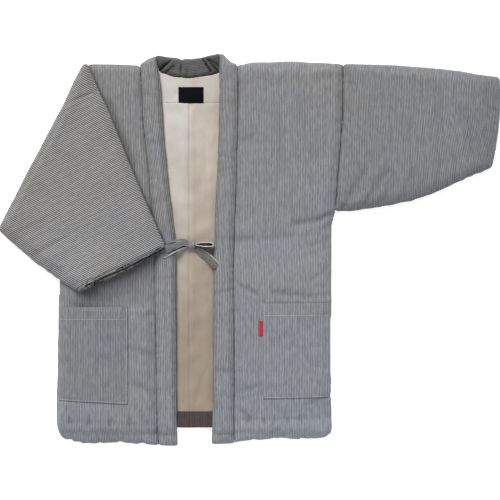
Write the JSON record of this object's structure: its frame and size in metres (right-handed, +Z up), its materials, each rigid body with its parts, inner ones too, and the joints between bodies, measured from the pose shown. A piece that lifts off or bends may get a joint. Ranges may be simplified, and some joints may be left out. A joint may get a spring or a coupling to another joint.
{
  "type": "hanten",
  "caption": "Padded striped cotton jacket laid flat, front up, tied at the chest, one sleeve open to the side and the other folded over the front.",
  "frame": {"origin": "bottom centre of the box round the laid-out jacket", "axes": "+Z up from the surface it lies on, +Y towards the neck, +X towards the tip of the open left sleeve"},
  "size_m": [1.098, 0.8618, 0.0453],
  "materials": {
    "striped_cotton": "matte",
    "lining_cotton": "matte",
    "facing_cotton": "matte",
    "black_weave": "satin",
    "red_tape": "matte",
    "tie_cotton": "matte"
  },
  "bodies": {
    "root": {"back": "striped_cotton", "lining_yoke": "lining_cotton", "lining_right": "lining_cotton", "lining_left": "lining_cotton", "hem_facing": "facing_cotton", "front_right": "striped_cotton", "front_left": "striped_cotton", "pocket_right": "striped_cotton", "pocket_left": "striped_cotton", "pocket_tab": "red_tape", "neck_label": "black_weave", "collar_front_right": "striped_cotton", "collar_front_left": "striped_cotton", "collar_neck_right": "striped_cotton", "collar_neck_left": "striped_cotton", "sleeve_left": "striped_cotton", "shoulder_fold_right": "striped_cotton", "sleeve_right": "striped_cotton", "tie_lead_right": "tie_cotton", "tie_end_right": "tie_cotton", "tie_loop_right": "tie_cotton", "tie_loop_left": "tie_cotton", "tie_lead_left": "tie_cotton", "tie_end_left": "tie_cotton", "tie_knot": "tie_cotton"}
  },
  "joints": []
}
